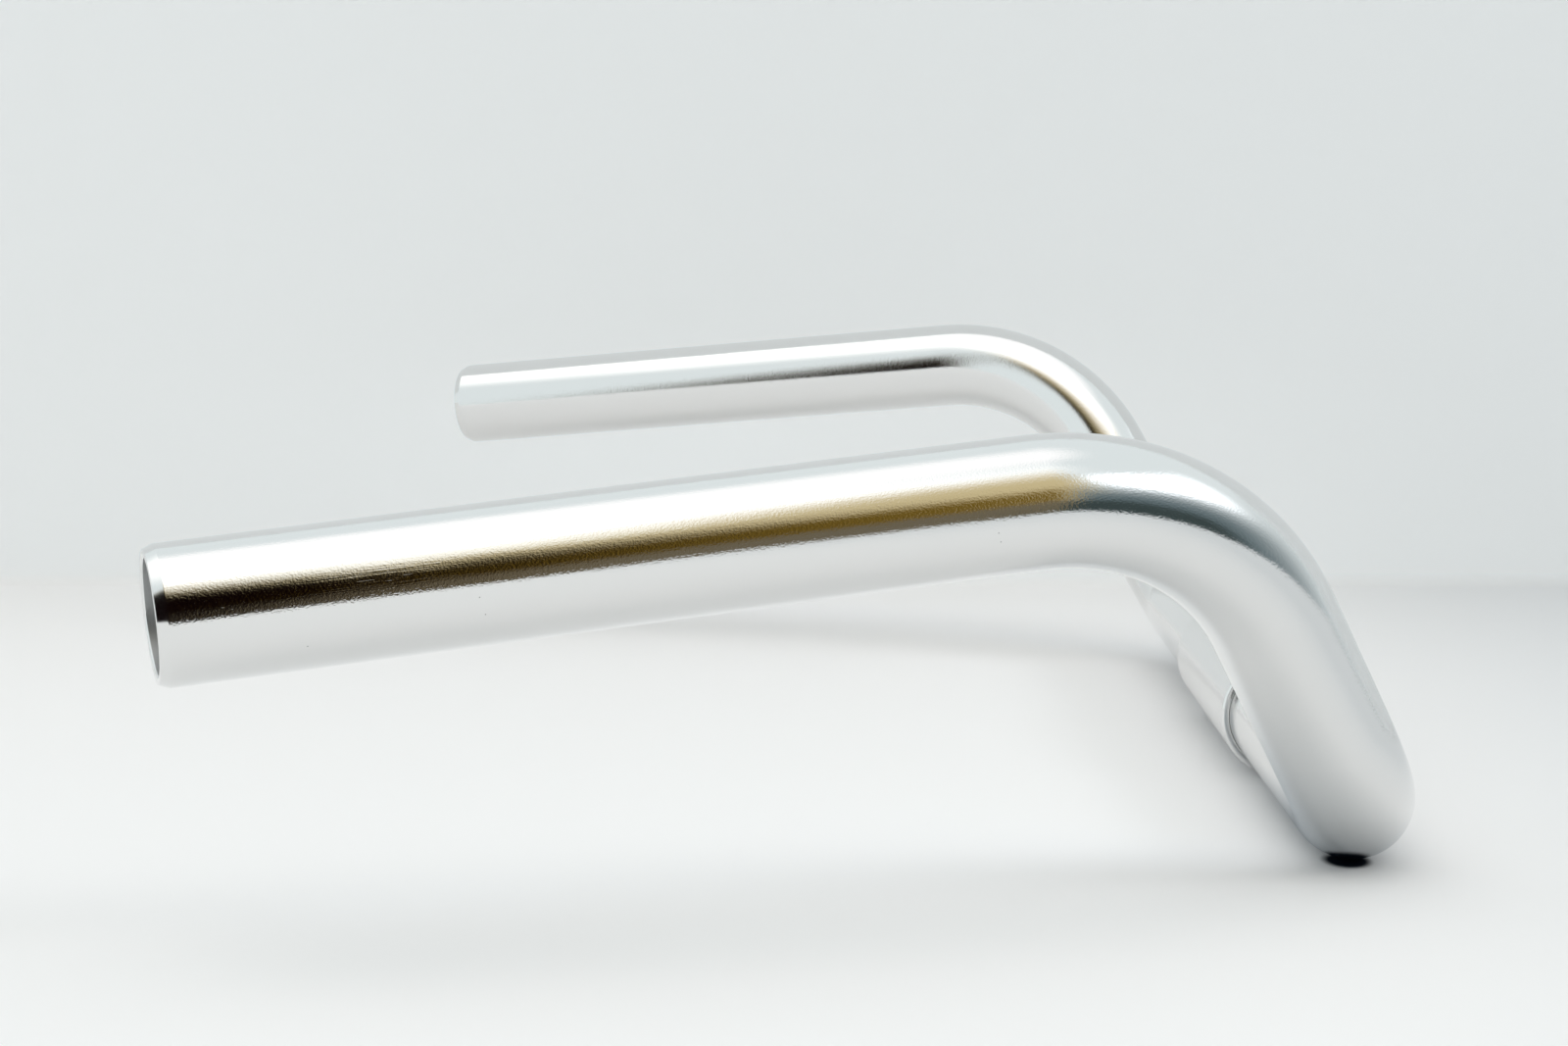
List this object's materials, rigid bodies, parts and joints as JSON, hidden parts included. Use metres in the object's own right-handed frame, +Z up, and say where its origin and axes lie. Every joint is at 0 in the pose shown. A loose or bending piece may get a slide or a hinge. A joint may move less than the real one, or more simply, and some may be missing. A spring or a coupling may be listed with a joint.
{
  "type": "swept-back bicycle handlebar",
  "caption": "Promenade handlebar: a bent aluminium tube with a centre clamp sleeve and grips swept back and out to the rider.",
  "frame": {"origin": "middle of the clamp sleeve, on the tube's axis", "axes": "+X forward, away from the rider; +Y to the rider's left, along the clamp sleeve; +Z up as the bar sits in its stem"},
  "size_m": [0.2135, 0.4952, 0.0832],
  "materials": {
    "tube_aluminium": "polished bare metal with fine lengthwise polishing lines",
    "sleeve_aluminium": "polished bare metal with fine turned lines round it"
  },
  "bodies": {
    "root": {"bar_tube": "tube_aluminium", "clamp_sleeve": "sleeve_aluminium"}
  },
  "joints": []
}
